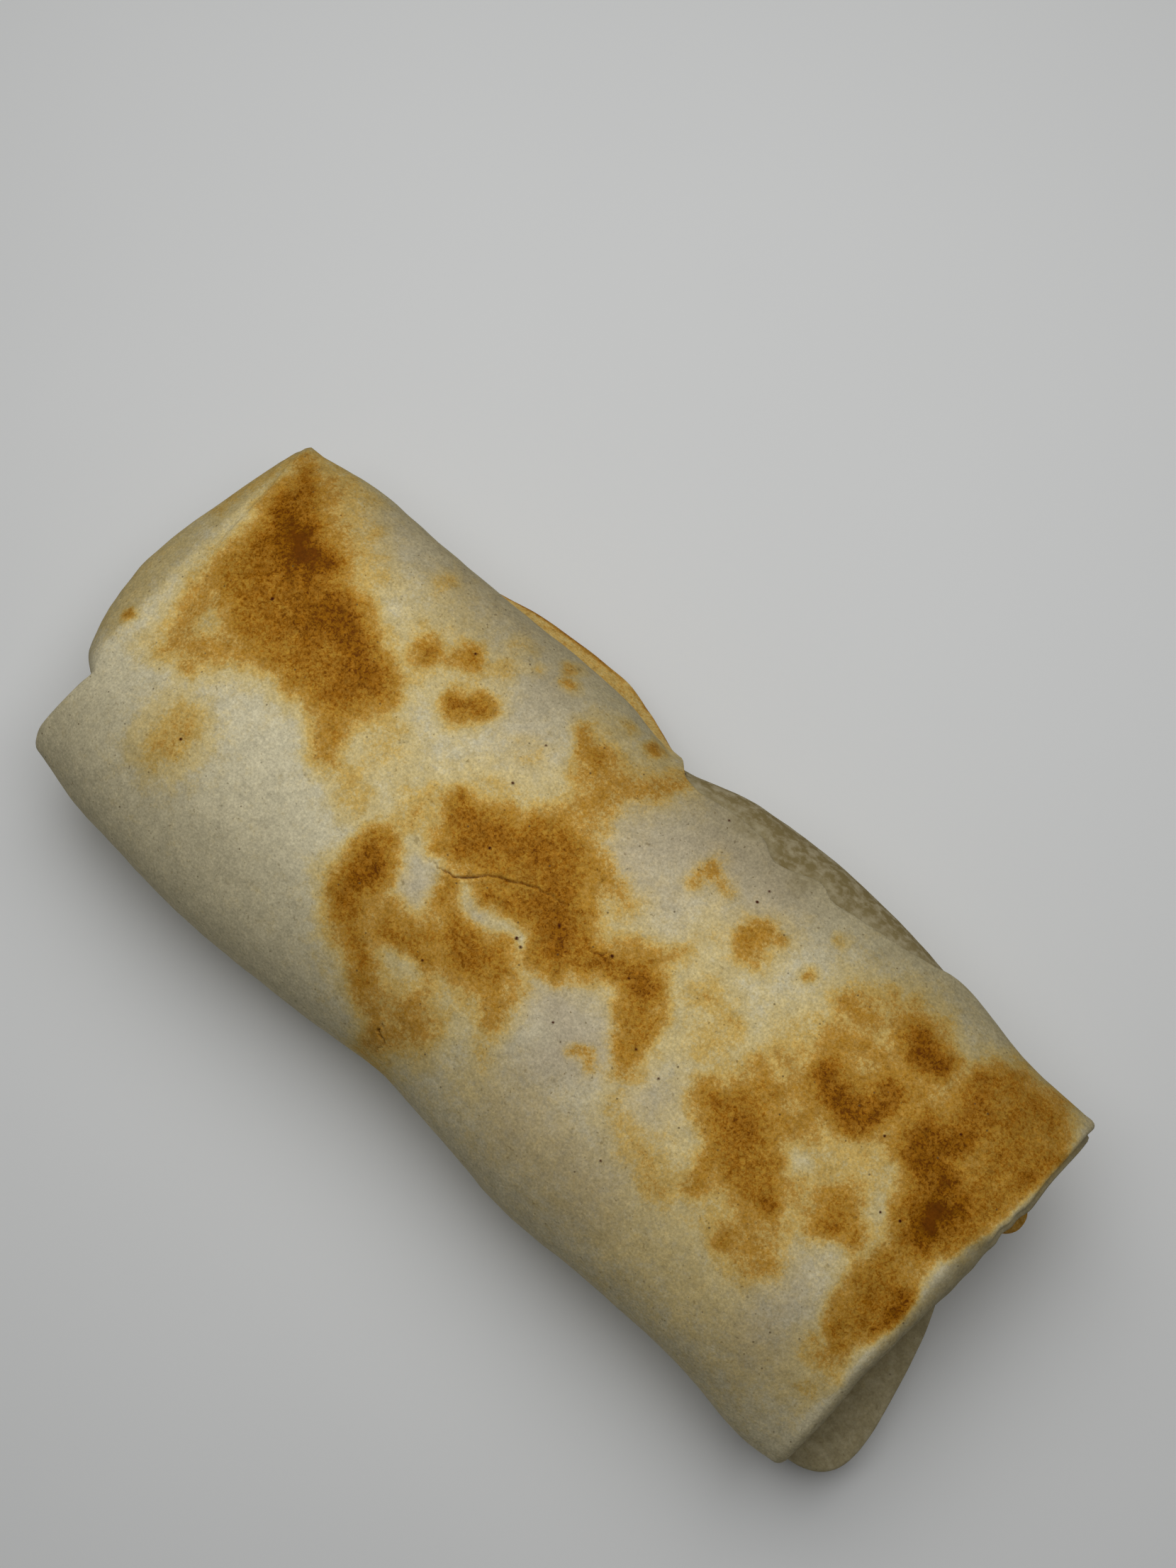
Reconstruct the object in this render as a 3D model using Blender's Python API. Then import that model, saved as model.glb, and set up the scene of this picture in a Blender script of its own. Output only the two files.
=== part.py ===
"""A chicken wrap: one flour tortilla rolled round its filling and griddled, lying with its seam side at the back.

X runs along the roll, +Y is the back, where the tortilla's free edge lies, and +Z is up. Sizes are in metres.
The tortilla is one sheet, so the wrap is one solid: the roll, with a lip at each end, and the inner folds that
bulge out of its two mouths.
"""

import bmesh
import bpy
import numpy as np
from mathutils import Matrix, Vector, noise

# Driving dimensions
TORTILLA = 0.0016  # thickness of the sheet
LEFT_LIP, RIGHT_LIP = -0.0802, 0.0832  # where the outer turn is folded in at each end
LEFT_SLANT, RIGHT_SLANT = -0.045, 0.010  # how far each lip leans along the roll per metre of its width
SLIT = 0.0004  # gap under the free edge
FLAP_REACH = 0.013  # how much of the last turn bends out with the free edge
EDGE_FADE = 0.008  # the free edge is pressed shut over this length at each lip
WELD = 0.0020  # and its points gather here where it is shut
EDGE_SHARE, EDGE_ROOM = 0.25, 0.22  # shares of the girth: the edge's usual place, and what follows it up and down
LIP_RADIUS = 0.0013
MOUTH_DEPTH = 0.006

# Each profile lists (x, value) along the roll, and is rounded off between its points.
TOP = ((-0.082, 0.0300), (-0.072, 0.0345), (-0.050, 0.0370), (0.000, 0.0355), (0.048, 0.0370), (0.070, 0.0350), (0.084, 0.0315))
BASE = ((-0.082, 0.0070), (-0.070, 0.0015), (-0.060, -0.0012), (0.060, -0.0012), (0.071, 0.0015), (0.084, 0.0060))
BACK = ((-0.082, 0.0320), (-0.070, 0.0343), (-0.050, 0.0350), (-0.015, 0.0358), (0.001, 0.0350), (0.012, 0.0386),
        (0.030, 0.0396), (0.046, 0.0388), (0.060, 0.0368), (0.070, 0.0348), (0.084, 0.0338))
FRONT = ((-0.082, -0.0345), (-0.072, -0.0358), (-0.060, -0.0376), (-0.049, -0.0384), (-0.036, -0.0376), (-0.005, -0.0347),
         (0.024, -0.0366), (0.064, -0.0355), (0.078, -0.0368), (0.084, -0.0348))
BACK_MID = ((-0.082, 0.0240), (-0.060, 0.0180), (0.060, 0.0180), (0.084, 0.0240))  # height of the widest point
FRONT_MID = ((-0.082, 0.0190), (-0.060, 0.0165), (0.060, 0.0165), (0.084, 0.0170))
CROWN = ((-0.082, 0.0060), (0.000, 0.0040), (0.084, 0.0060))  # y of the top line
EDGE_HEIGHT = ((-0.082, 0.0190), (-0.040, 0.0120), (-0.018, 0.0095), (0.000, 0.0220), (0.010, 0.0315), (0.030, 0.0332),
               (0.044, 0.0318), (0.054, 0.0270), (0.066, 0.0225), (0.084, 0.0220))  # height of the free edge
EDGE_FLARE = ((-0.050, 0.0002), (-0.038, 0.0014), (-0.028, 0.0052), (-0.017, 0.0058), (-0.001, 0.0006), (0.084, 0.0003))
OVERLAP = ((-0.080, 0.0008), (-0.066, 0.0040), (-0.022, 0.0070), (0.004, 0.0040), (0.066, 0.0035), (0.082, 0.0008))

# How square each quarter of a section is: 2 is an ellipse, more is squarer.
SQUARE_MIDDLE = {"base_back": 3.4, "top_back": 3.3, "top_front": 2.5, "base_front": 2.9}
SQUARE_LEFT = {"base_back": 2.0, "top_back": 3.6, "top_front": 2.0, "base_front": 2.0}
SQUARE_RIGHT = {"base_back": 2.0, "top_back": 3.8, "top_front": 2.1, "base_front": 2.2}
END_REACH = 0.026  # over which a section changes to that of its lip

LUMPS = ((0.026, 0.00075), (0.011, 0.00030))  # (spacing, height) of what the filling pushes up

AROUND, UNDER_EDGE, STATIONS = 46, 4, 54
OUTLINE_SAMPLES = 720


def along(x, profile, rounding=0.004):
    """The profile's value at x, with its corners rounded over the distance given."""
    places, values = np.array(profile).T
    return float(np.mean(np.interp(x + np.linspace(-rounding, rounding, 9), places, values)))


def smooth(t):
    t = np.clip(t, 0.0, 1.0)
    return t * t * (3.0 - 2.0 * t)


def squareness(x, quarter):
    to_left = float(smooth(1.0 - (x - LEFT_LIP) / END_REACH))
    to_right = float(smooth(1.0 - (RIGHT_LIP - x) / END_REACH))
    middle = SQUARE_MIDDLE[quarter]
    return middle + to_left * (SQUARE_LEFT[quarter] - middle) + to_right * (SQUARE_RIGHT[quarter] - middle)


def outline(x):
    """The roll's section at x as a dense loop of (y, z), from the middle of the base up the back and over."""
    crown, top, base = along(x, CROWN), along(x, TOP), along(x, BASE)
    sides = {"back": (along(x, BACK) - crown, along(x, BACK_MID)), "front": (along(x, FRONT) - crown, along(x, FRONT_MID))}
    turn = np.linspace(0.0, np.pi / 2, OUTLINE_SAMPLES // 4, endpoint=False)
    points = []
    for quarter, start in (("base_back", -1), ("top_back", 0), ("top_front", 1), ("base_front", 2)):
        level, side = quarter.split("_")
        reach, middle = sides[side]
        power = 2.0 / squareness(x, quarter)
        angle = start * np.pi / 2 + turn
        across = np.abs(np.cos(angle)) ** power
        up = np.abs(np.sin(angle)) ** power
        height = (top - middle) if level == "top" else (base - middle)
        points.append(np.stack([crown + reach * across, middle + height * up], axis=1))
    return np.concatenate(points)


def lump(x, y, z):
    total = 0.0
    for spacing, height in LUMPS:
        total += height * noise.noise(Vector((x, y, z)) / spacing)
    return total


def spacing(edge, girth, overlap, free):
    """Distances round the roll of a ring's points. The last of them turn back under the edge where it is free."""
    even = np.linspace(0.0, 1.0, AROUND)
    ends = EDGE_SHARE * girth, (1.0 + EDGE_SHARE) * girth
    from_start, to_finish = 1.0 - smooth(even / EDGE_ROOM), smooth((even - 1.0 + EDGE_ROOM) / EDGE_ROOM)

    def turn(finish):
        return ends[0] + even * girth + (edge - ends[0]) * from_start + (finish - ends[1]) * to_finish

    under = UNDER_EDGE + 1
    folded = edge + girth + np.append(np.linspace(overlap, 0.0, UNDER_EDGE), -0.45 * TORTILLA)
    layered = np.concatenate([turn(edge + girth + overlap), folded])
    finish = edge + girth - WELD
    closed = np.append(turn(finish), finish + WELD * np.arange(1, under + 1) / (under + 1))
    return closed + free * (layered - closed)


def section(x):
    """The ring at x: once round the roll from the free edge, on under it, and back along its inner side."""
    loop = outline(x)
    closed = np.concatenate([loop, loop, loop[:1]])
    steps = np.linalg.norm(np.diff(closed, axis=0), axis=1)
    place = np.concatenate([[0.0], np.cumsum(steps)])
    girth = steps[: len(loop)].sum()
    tangent = np.gradient(closed, axis=0)
    normal = np.stack([tangent[:, 1], -tangent[:, 0]], axis=1)
    normal /= np.linalg.norm(normal, axis=1)[:, None] + 1e-12

    rising = closed[: len(loop) // 2, 1]
    edge = float(np.interp(along(x, EDGE_HEIGHT), rising, place[: len(loop) // 2]))
    free = float(smooth(min(x - LEFT_LIP, RIGHT_LIP - x) / EDGE_FADE))
    overlap, flare = along(x, OVERLAP), along(x, EDGE_FLARE) * free
    distances = spacing(edge, girth, overlap, free)
    points = []
    for k, distance in enumerate(distances):
        below = float(smooth((distance - girth) / (0.8 * edge))) * (TORTILLA + SLIT)
        if k >= AROUND:
            below = (TORTILLA + (0.5 * SLIT if k == AROUND else 0.0)) * (1.0 if k < AROUND + UNDER_EDGE else 0.5)
        folded_under = k >= AROUND
        from_edge = distance - edge - (girth if folded_under else 0.0)
        lift = 0.0
        if from_edge < FLAP_REACH and (folded_under or distance < girth):
            lift = flare * (1.0 - float(smooth(from_edge / FLAP_REACH)))
        spot = np.array([np.interp(distance, place, closed[:, axis]) for axis in (0, 1)])
        out = np.array([np.interp(distance, place, normal[:, axis]) for axis in (0, 1)])
        spot += out * (lift - below * free + lump(x, *spot))
        points.append((spot[0], max(spot[1], 0.0)))
    return np.array(points)


def mouth(ring, inset):
    """The ring drawn in towards its own middle by this much all round."""
    low, high = ring.min(axis=0), ring.max(axis=0)
    middle, half = (low + high) / 2, (high - low) / 2
    return middle + (ring - middle) * (1.0 - inset / half)


def stations():
    """Places along the roll, closer together towards the lips."""
    t = np.linspace(-1.0, 1.0, STATIONS)
    eased = t * (1.0 - 0.16 * t * t) / 0.84
    return (LEFT_LIP + RIGHT_LIP) / 2 + eased * (RIGHT_LIP - LEFT_LIP) / 2


def lip(x, outwards):
    """Rings (x, points) that fold the outer turn over its lip and into the mouth."""
    ring = section(x)
    rings = []
    for angle in np.radians((40, 75, 105, 140, 180)):
        rings.append((x + outwards * LIP_RADIUS * np.sin(angle), mouth(ring, LIP_RADIUS * (1.0 - np.cos(angle)))))
    rings.append((x - outwards * MOUTH_DEPTH, mouth(ring, 2.3 * LIP_RADIUS)))
    rings.append((x - outwards * 1.1 * MOUTH_DEPTH, mouth(ring, 4.0 * LIP_RADIUS)))
    return rings


def slanted(x, y):
    """Where x comes to once the lips lean."""
    left = LEFT_SLANT * float(smooth(1.0 - (x - LEFT_LIP) / END_REACH))
    right = RIGHT_SLANT * float(smooth(1.0 - (RIGHT_LIP - x) / END_REACH))
    return x + (left + right) * y


def roll():
    """The outer turn of the tortilla with all it holds, as one skinned solid with a shallow mouth at each end."""
    rings = [(x, section(x)) for x in stations()]
    rings = lip(LEFT_LIP, -1)[::-1] + rings + lip(RIGHT_LIP, 1)
    mesh = bmesh.new()
    loops = [[mesh.verts.new((slanted(x, y), y, z)) for y, z in points] for x, points in rings]
    for first, second in zip(loops, loops[1:]):
        for k in range(len(first)):
            after = (k + 1) % len(first)
            mesh.faces.new((first[k], first[after], second[after], second[k]))
    for loop in (loops[0], loops[-1]):
        middle = mesh.verts.new(sum((v.co for v in loop), Vector()) / len(loop))
        for k in range(len(loop)):
            mesh.faces.new((loop[k], loop[(k + 1) % len(loop)], middle))
    bmesh.ops.recalc_face_normals(mesh, faces=mesh.faces)
    return mesh


def cushion(centre, half, square, tilt=0.0, skew=0.0, segments=24, rings=12):
    """A plump closed fold: an ellipsoid of these half sizes, squared off, tilted about X and skewed along X by y."""
    mesh = bmesh.new()
    bmesh.ops.create_uvsphere(mesh, u_segments=segments, v_segments=rings, radius=1.0)
    turned = Matrix.Rotation(tilt, 3, "X")
    for v in mesh.verts:
        size = sum(abs(c) ** square for c in v.co) ** (-1.0 / square)
        place = Vector(c * size * h for c, h in zip(v.co, half))
        place.x += skew * place.y
        v.co = Vector(centre) + turned @ place
    return mesh


def make(name, mesh):
    data = bpy.data.meshes.new(name)
    mesh.to_mesh(data)
    mesh.free()
    made = bpy.data.objects.new(name, data)
    bpy.context.scene.collection.objects.link(made)
    return made


def join(whole, pieces):
    """Unites the pieces with the whole by Booleans and leaves one mesh."""
    for piece in pieces:
        union = whole.modifiers.new(piece.name, "BOOLEAN")
        union.operation = "UNION"
        union.object = piece
    joined = bpy.data.meshes.new_from_object(whole.evaluated_get(bpy.context.evaluated_depsgraph_get()))
    whole.modifiers.clear()
    whole.data = joined
    for piece in pieces:
        bpy.data.objects.remove(piece)


def rest_on_origin(whole):
    """Moves the mesh so that the middle of its box's base is the origin."""
    spots = np.array([v.co for v in whole.data.vertices])
    low, high = spots.min(axis=0), spots.max(axis=0)
    whole.data.transform(Matrix.Translation((-(low[0] + high[0]) / 2, -(low[1] + high[1]) / 2, -low[2])))


def tortilla():
    material = bpy.data.materials.new("griddled_flour_tortilla")
    material.use_nodes = True
    shader = material.node_tree.nodes["Principled BSDF"]
    shader.inputs["Base Color"].default_value = (0.66, 0.55, 0.34, 1.0)
    shader.inputs["Roughness"].default_value = 0.75
    shader.inputs["Metallic"].default_value = 0.0
    return material


def main():
    for old in list(bpy.data.objects):
        bpy.data.objects.remove(old)
    wrap = make("tortilla_wrap", roll())
    left_fold = make("left_fold", cushion((-0.0688, 0.0040, 0.0176), (0.0212, 0.0250, 0.0108), 2.5, tilt=0.05, skew=0.10))
    right_fold = make("right_fold", cushion((0.0645, 0.0040, 0.0175), (0.0188, 0.0270, 0.0100), 2.4, tilt=0.08))
    right_tongue = make("right_tongue", cushion((0.0712, -0.0168, 0.0125), (0.0185, 0.0184, 0.0026), 3.2, tilt=0.05, skew=-0.25))
    right_tab = make("right_tab", cushion((0.0810, 0.0150, 0.0190), (0.0062, 0.0030, 0.0016), 2.2, segments=14, rings=8))
    join(wrap, (left_fold, right_fold, right_tongue, right_tab))
    rest_on_origin(wrap)
    wrap.data.materials.clear()
    wrap.data.materials.append(tortilla())
    wrap.data.shade_smooth()
    wrap.data.set_sharp_from_angle(angle=np.radians(50))


main()
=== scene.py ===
"""A griddled chicken wrap: one large flour tortilla rolled round its filling, with both ends folded in."""

import math

import bmesh
import bpy
import numpy as np
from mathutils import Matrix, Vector, noise


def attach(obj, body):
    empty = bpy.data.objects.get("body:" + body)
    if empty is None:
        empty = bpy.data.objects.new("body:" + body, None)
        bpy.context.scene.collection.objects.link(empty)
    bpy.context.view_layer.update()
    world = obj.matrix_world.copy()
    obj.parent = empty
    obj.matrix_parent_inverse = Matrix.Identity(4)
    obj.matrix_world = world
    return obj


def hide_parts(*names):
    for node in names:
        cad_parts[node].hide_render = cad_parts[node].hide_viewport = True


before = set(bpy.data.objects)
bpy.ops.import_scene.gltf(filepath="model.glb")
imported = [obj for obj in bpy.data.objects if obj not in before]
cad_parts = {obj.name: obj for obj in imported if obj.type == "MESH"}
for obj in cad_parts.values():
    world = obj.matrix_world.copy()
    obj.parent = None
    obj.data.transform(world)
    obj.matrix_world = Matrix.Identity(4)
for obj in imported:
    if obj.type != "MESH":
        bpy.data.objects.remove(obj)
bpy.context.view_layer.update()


# ---- The outer turn -------------------------------------------------------------------------------------
# The last turn of the flour tortilla, a soft sheet about 1.5 mm thick that goes once round the filling. Its
# free edge lies along the back: it flares out low down on the left, climbs on to the top at the middle and
# is stuck down there. The ends are folded in. Sizes are in millimetres, x along the roll, y to the back.

MM = 0.001  # the scene is in metres
LIPS = (-80.7, 82.6)  # where the sheet turns in at each end
# How far each lip wanders along the roll, as (y, offset).
LIP_LINES = (
    ((-37, 0.3), (-34, -0.5), (-30, 0.0), (-24, 0.6), (-20, 1.5), (-16, 3.2), (-10, 4.6), (-5, 4.4),
     (0, 3.6), (5, 2.8), (10, 2.1), (20, 1.5), (27, 0.6), (30.5, 0.2), (32, 0.8), (33.2, 2.2)),
    ((-37, -1.4), (-34, -1.7), (-28, -2.1), (-20, -3.1), (-14, -2.8), (-9, -2.8), (-4, -3.6), (1, -3.9),
     (6, -2.8), (8.5, -1.4), (10, -1.6), (11.5, -0.2), (13, -0.6), (15, 0.3), (20, -0.1), (26, 0.1),
     (30, 0.2), (32, 0.6), (34, 0.7)))
END_REACH = 26.0  # over which the roll narrows to its lips

# Profiles list (x, value) along the roll and are rounded off between their points.
TOP = ((-82, 30.0), (-72, 34.5), (-50, 37.0), (0, 35.5), (48, 37.0), (70, 35.0), (84, 31.5))
BASE = ((-82, 7.0), (-70, 1.5), (-60, -1.2), (60, -1.2), (71, 1.5), (84, 6.0))
BACK = (
    (-82, 30.6), (-70, 32.9), (-50, 33.6), (-15, 34.4), (-8, 33.4), (-1, 32.2), (3, 33.8), (11, 37.2),
    (30, 38.2), (46, 37.4), (60, 35.4), (70, 33.4), (84, 32.4))
FRONT = (
    (-82, -36.1), (-75, -37.7), (-68, -38.8), (-60, -39.4), (-49, -39.8), (-36, -39.0), (-5, -36.1),
    (24, -38.0), (64, -36.9), (78, -38.3), (84, -37.6))
BACK_MID = ((-82, 24.0), (-60, 18.0), (60, 18.0), (84, 24.0))  # height of the widest point
FRONT_MID = ((-82, 19.0), (-60, 16.5), (60, 16.5), (84, 17.0))
CROWN = ((-82, 4.6), (0, 2.6), (84, 4.6))  # y of the top line
# How square each quarter of the section is at the left lip, the middle and the right lip; 2 is an ellipse.
SQUARENESS = {
    "base back": (2.0, 3.4, 2.0), "top back": (3.6, 3.3, 3.8), "top front": (2.0, 2.5, 2.1),
    "base front": (2.0, 2.9, 2.2)}

# The free edge: its bearing round the roll in degrees up from the back, its thickness, how far it stands
# out, what share of that each distance from the edge gets, and how far the sheet laps under it.
EDGE_BEARING = (
    (-82, 5), (-60, -4), (-40, -9), (-30, -12), (-14, -12), (-4, 4), (1, 25), (5, 28.5), (15, 29.2),
    (18.5, 30), (20.5, 33), (23.5, 32.5), (26, 31), (29, 29.3), (32, 32.2), (36, 30.6), (42, 29),
    (46, 27.5), (50, 24.5), (53, 21), (58, 17), (66, 12), (84, 8))
EDGE_THICKNESS = (
    (-82, 1.2), (-20, 1.4), (-10, 0.9), (0, 0.45), (6, 0.5), (10, 0.7), (20, 0.9), (46, 1.0), (56, 1.0),
    (84, 1.2))
EDGE_FLARE = (
    (-58, 0.1), (-51, 1.4), (-44, 3.0), (-36, 4.9), (-27, 6.0), (-20, 5.8), (-14, 4.3), (-9, 2.6),
    (-5, 1.2), (-1, 0.4), (4, 0.25), (50, 0.15), (54, 0.45), (58, 0.1), (84, 0.1))
FLARED = ((-3, 1.15), (0, 1.0), (4.2, 0.06), (5.6, -0.12), (7.4, -0.1), (12, 0.0))
OVERLAP = ((-80, 0.8), (-66, 4.0), (-22, 7.0), (4, 4.0), (66, 3.5), (82, 0.8))
SLIT = 0.25  # between the free edge and the layer under it
EDGE_FADE = 8.0  # over which the free edge is pressed shut at each lip
WELD = 1.5  # of sheet that the rings close up to where it is shut

# What the filling pushes up, as (spacing, height).
LUMPS = ((26.0, 0.75), (11.0, 0.34), (4.6, 0.10), (2.0, 0.035))

# Each end wall: how high its fold is fullest, how tall and how square the fold is, and then along y how far
# it stands out beyond the lip, how round the lip is, how softly the two merge and how deep the groove
# between the lip and the layer under it is.
WALLS = (
    {"way": -1, "fullest": 17.0, "tall": 14.0, "square": 2.3,
     "standing": ((-28, -6), (-24, -2), (-21, 5.8), (-16, 10.6), (-10, 14.0), (-3, 14.7), (4, 13.2),
                  (11, 11.4), (18, 9.8), (25, 7.4), (31, 3.8)),
     "rounding": ((-36, 0.8), (-20, 0.9), (-12, 2.6), (36, 2.8)),
     "merging": ((-24, 0.3), (-16, 0.5), (-8, 0.9), (18, 0.9), (36, 1.4)),
     "groove": ((-36, 0.0), (-22, 0.0), (-15, 0.6), (0, 0.8), (16, 0.6), (26, 0.3), (32, 0.1))},
    {"way": 1, "fullest": 16.0, "tall": 13.0, "square": 2.6,
     "standing": ((-32, -6), (-24, -3), (-12, 0.0), (-4, 2.5), (2, 3.0), (8, 1.8), (16, 0.6), (30, 0.4)),
     "rounding": ((-36, 1.6), (-30, 2.0), (-22, 2.7), (-14, 2.9), (-9, 3.3), (-4, 4.8), (1, 5.6),
                  (6, 4.2), (9, 2.4), (12, 1.2), (36, 1.1)),
     "merging": ((-36, 0.4), (0, 0.6), (12, 0.35), (36, 0.3)),
     "groove": ((-36, 0.0), (6, 0.0), (14, 0.7), (36, 0.7))})

AROUND, LAPPED, ROUNDED = 279, 10, 3  # points round the roll, along the lap and round the edge
CUT_INTO = (3, 5, 17)  # what the tube is cut into, one cut after the other
ALONG = math.prod(CUT_INTO) + 1
RING = AROUND + LAPPED + ROUNDED
INSETS = (0.12, 0.3, 0.55, 0.85, 1.2, 1.6, 2.05, 2.55, 3.1, 3.7, 4.4, 5.2, 6.0)
WALL_RINGS = len(INSETS) + 12
OUTLINE_POINTS = 1600
TUBE_RADIUS, TUBE_LENGTH = 30.0, 160.0  # of the tube that the rings are cut from


def smooth(t):
    t = np.clip(t, 0.0, 1.0)
    return t * t * (3.0 - 2.0 * t)


def rise(value, start, length):
    """0 up to the start, rising softly to 1 over the length."""
    return smooth((value - start) / length)


def along(x, profile, rounding=3.0):
    """The profile's value at x, averaged over the rounding on both sides."""
    places, values = np.array(profile, float).T
    around_x = np.asarray(x)[..., None] + np.linspace(-rounding, rounding, 9)
    return np.interp(around_x, places, values).mean(axis=-1)


def outline(x):
    """The section at x as a dense loop of (y, z), from the middle of the base up the back and over."""
    to_left = float(smooth(1.0 - (x - LIPS[0]) / END_REACH))
    to_right = float(smooth(1.0 - (LIPS[1] - x) / END_REACH))
    crown, top, base = along(x, CROWN), along(x, TOP), along(x, BASE)
    sides = {"back": (along(x, BACK) - crown, along(x, BACK_MID)),
             "front": (along(x, FRONT) - crown, along(x, FRONT_MID))}
    turn = np.linspace(0.0, math.pi / 2, OUTLINE_POINTS // 4, endpoint=False)
    loop = []
    for start, quarter in enumerate(("base back", "top back", "top front", "base front")):
        level, side = quarter.split()
        reach, middle = sides[side]
        left, usual, right = SQUARENESS[quarter]
        power = 2.0 / (usual + to_left * (left - usual) + to_right * (right - usual))
        angle = (start - 1) * math.pi / 2 + turn
        height = (top if level == "top" else base) - middle
        loop.append(np.stack([crown + reach * np.abs(np.cos(angle)) ** power,
                              middle + height * np.abs(np.sin(angle)) ** power], axis=1))
    return np.concatenate(loop)


def lump(x, y, z):
    return sum(height * noise.noise(Vector((x, y, z)) / spacing) for spacing, height in LUMPS)


# Points are closest along the top and where the edge is, and furthest apart underneath.
share = np.linspace(0.0, 1.0, 2001)
closeness = np.interp(share, (0.0, 0.03, 0.06, 0.42, 0.55, 0.64, 0.85, 0.93, 0.985, 1.0),
                      (2.6, 2.2, 1.2, 1.2, 1.0, 0.62, 0.62, 0.9, 1.6, 2.2))
travelled = np.concatenate([[0.0], np.cumsum((closeness[1:] + closeness[:-1]) / 2)])
turn_shares = np.interp(np.linspace(0.0, 1.0, AROUND), travelled / travelled[-1], share)


def ring(x):
    """One ring of the sheet as (y, z), with how far each point is round the front from the crown line, how
    much it is under the free edge, and how far it is from that edge."""
    loop = outline(x)
    closed = np.concatenate([loop, loop, loop[:1]])
    steps = np.linalg.norm(np.diff(closed, axis=0), axis=1)
    place = np.concatenate([[0.0], np.cumsum(steps)])
    girth = steps[: len(loop)].sum()
    crown_at = place[len(loop) // 2]
    heading = np.gradient(closed, axis=0)
    outward = np.stack([heading[:, 1], -heading[:, 0]], axis=1)
    outward /= np.linalg.norm(outward, axis=1)[:, None] + 1e-12

    middle = (along(x, CROWN), along(x, BACK_MID))
    back = loop[: len(loop) // 2]
    bearing = np.degrees(np.arctan2(back[:, 1] - middle[1], back[:, 0] - middle[0]))
    edge = float(np.interp(along(x, EDGE_BEARING, 1.2), bearing, place[: len(back)]))
    free = float(smooth(min(x - LIPS[0], LIPS[1] - x) / EDGE_FADE))
    overlap, flare, thick = along(x, OVERLAP), along(x, EDGE_FLARE, 2.0) * free, along(x, EDGE_THICKNESS)

    usual = 0.25 * girth  # where the ring would start and finish if the edge didn't draw it along
    drawn = 0.16  # share of the turn at each end that is drawn along
    follow_start, follow_end = 1.0 - smooth(turn_shares / drawn), rise(turn_shares, 1.0 - drawn, drawn)

    def turn(finish):
        drawn_along = (edge - usual) * follow_start + (finish - usual - girth) * follow_end
        return usual + turn_shares * girth + drawn_along

    rounding = np.linspace(0.0, math.pi, ROUNDED + 2)[1:-1]
    lapped = edge + np.linspace(overlap, 0.0, LAPPED)
    rounded = edge - 0.5 * thick * np.sin(rounding)[::-1]
    layered = np.concatenate([turn(edge + girth + overlap), lapped, rounded])
    shut = edge + girth - WELD
    steps_shut = np.arange(1, LAPPED + ROUNDED + 1) / (LAPPED + ROUNDED + 1)
    closed_up = np.append(turn(shut), shut + WELD * steps_shut)
    wrapped = np.concatenate([layered[:AROUND], layered[AROUND:] + girth])
    distance = closed_up + free * (wrapped - closed_up)

    depth = np.zeros(RING)
    depth[:AROUND] = rise(distance[:AROUND], girth + 0.2 * edge, 0.6 * edge) * (thick + SLIT)
    depth[AROUND:AROUND + LAPPED] = thick
    depth[AROUND] += 0.5 * SLIT
    depth[AROUND + LAPPED:] = 0.5 * thick * (1.0 - np.cos(rounding))[::-1]
    from_edge = distance - edge
    from_edge[AROUND:] -= girth
    standing = flare * along(from_edge, FLARED, 0.6)
    below = distance[:AROUND] > 0.9 * girth
    standing[:AROUND][below] = 0.0
    from_edge[:AROUND][below] = girth - from_edge[:AROUND][below]

    spots = np.stack([np.interp(distance, place, closed[:, k]) for k in (0, 1)], axis=1)
    outs = np.stack([np.interp(distance, place, outward[:, k]) for k in (0, 1)], axis=1)
    bumps = np.array([lump(x, y, z) for y, z in spots])
    spots += outs * (standing - depth * free + bumps)[:, None]
    spots[:, 1] = np.maximum(spots[:, 1], 0.0)
    around = distance - crown_at
    around[around > 0.5 * girth] -= girth
    under = np.zeros(RING)
    under[:AROUND] = free * rise(distance[:AROUND], 0.78 * girth, 0.1 * girth)
    under[AROUND:AROUND + LAPPED] = free
    return spots, around, under, np.maximum(from_edge, 0.0)


def stations():
    """Places along the roll, closest near the lips."""
    t = np.linspace(-1.0, 1.0, ALONG)
    crowding = 0.16
    eased = t * (1.0 - crowding * t * t) / (1.0 - crowding)
    return (LIPS[0] + LIPS[1]) / 2 + eased * (LIPS[1] - LIPS[0]) / 2


def leaning(x, y):
    """The x of a point once the wandering lips have drawn it along."""
    for lip, line, way in zip(LIPS, LIP_LINES, (1, -1)):
        x = x + smooth(1.0 - way * (x - lip) / END_REACH) * along(y, line, 1.0)
    return x


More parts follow.
